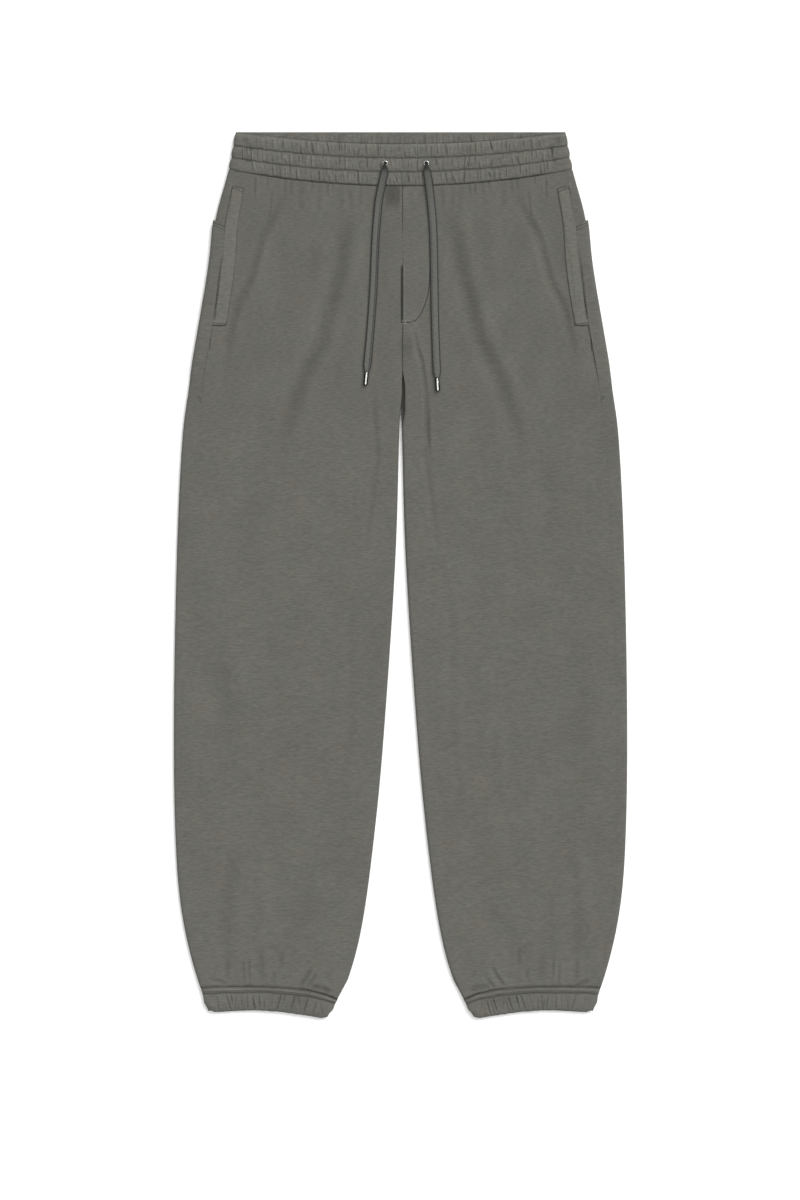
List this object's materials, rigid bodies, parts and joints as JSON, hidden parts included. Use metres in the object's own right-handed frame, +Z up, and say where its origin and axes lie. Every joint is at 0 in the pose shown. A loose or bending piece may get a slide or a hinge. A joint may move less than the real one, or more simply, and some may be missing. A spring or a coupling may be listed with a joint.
{
  "type": "jogger sweatpants laid flat",
  "caption": "Relaxed jogger sweatpants laid flat, with an elastic waistband, drawcord, side pockets, back patch pockets and gathered cuffs.",
  "frame": {"origin": "on the surface that the garment lies on, under the middle of its length and width", "axes": "+Y from the hems to the waist, +X towards the wearer's left, +Z up, out of the front of the garment"},
  "size_m": [0.534, 1.04, 0.0134],
  "materials": {
    "jersey": "heavy brushed jersey, matt",
    "drawcord": "flat woven cotton, matt",
    "metal": "polished nickel plate"
  },
  "bodies": {
    "root": {"waistband": "jersey", "front_right": "jersey", "back_right": "jersey", "pocket_welt_right": "jersey", "back_pocket_right": "jersey", "cuff_right": "jersey", "front_left": "jersey", "back_left": "jersey", "pocket_welt_left": "jersey", "back_pocket_left": "jersey", "cuff_left": "jersey", "drawcord_right": "drawcord", "drawcord_left": "drawcord", "eyelet_right": "metal", "cord_tip_right": "metal", "eyelet_left": "metal", "cord_tip_left": "metal"}
  },
  "joints": []
}
